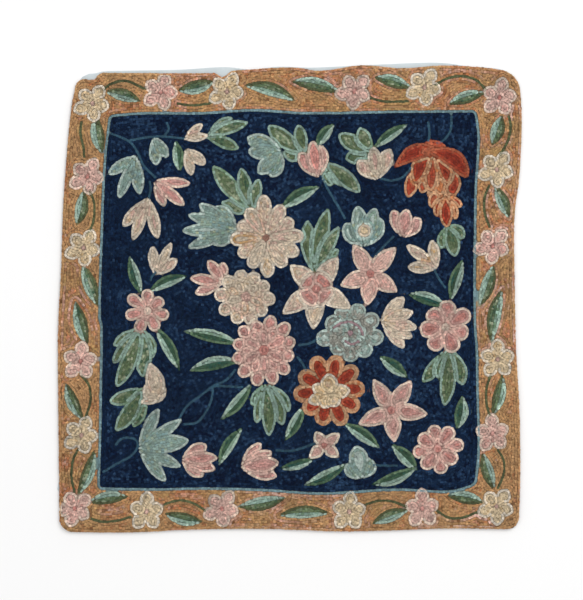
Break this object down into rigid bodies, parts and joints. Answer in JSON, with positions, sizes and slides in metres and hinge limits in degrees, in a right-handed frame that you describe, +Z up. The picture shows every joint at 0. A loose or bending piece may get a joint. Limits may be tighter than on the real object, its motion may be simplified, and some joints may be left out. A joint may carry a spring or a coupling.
{
  "type": "crewel cushion cover",
  "caption": "Empty square cushion cover lying flat: wool chain-stitch flowers on navy with a tan border, over a pale cotton back",
  "frame": {"origin": "middle of the underside, on the surface that the cover lies on", "axes": "+Z up from the surface through the two cloths, +Y towards the top edge of the pattern, +X towards its right edge"},
  "size_m": [0.4644, 0.4684, 0.0073],
  "materials": {
    "wool_embroidery": "matte wool chain stitch in rows, navy ground with cream, pink, rust and green flowers, tan border",
    "cotton_backing": "matte plain-weave cotton, pale grey-blue"
  },
  "bodies": {
    "root": {"front_panel": "wool_embroidery", "back_panel": "cotton_backing"}
  },
  "joints": []
}
